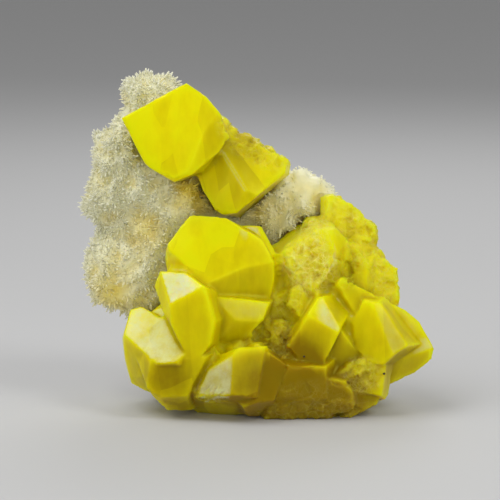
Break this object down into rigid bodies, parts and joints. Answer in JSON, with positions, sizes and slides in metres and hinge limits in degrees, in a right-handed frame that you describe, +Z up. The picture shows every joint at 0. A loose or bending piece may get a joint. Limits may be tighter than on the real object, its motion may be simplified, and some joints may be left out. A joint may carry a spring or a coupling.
{
  "type": "native sulfur crystal specimen",
  "caption": "Natural mineral specimen: intergrown, chipped yellow sulfur crystals on a spiky white aragonite druse, standing on its broken foot.",
  "frame": {"origin": "on the ground under the middle of the specimen's bounding box, with the broken foot resting on z = 0", "axes": "+Z up, +X to the right of the display face, -Y towards the viewer of the display face"},
  "size_m": [0.0886, 0.0464, 0.0828],
  "materials": {
    "upper_sulfur_pair": "translucent lemon-yellow native sulfur, resinous lustre, smooth growth faces and a crinkled fractured edge",
    "sulfur_cluster": "translucent yellow to olive-yellow native sulfur, resinous lustre, growth faces, chips and conchoidal fractures",
    "aragonite_matrix": "cream-white translucent aragonite needles over beige-brown rock, frosty"
  },
  "bodies": {
    "root": {"upper_sulfur_pair": "upper_sulfur_pair", "sulfur_cluster": "sulfur_cluster", "aragonite_matrix": "aragonite_matrix"}
  },
  "joints": []
}
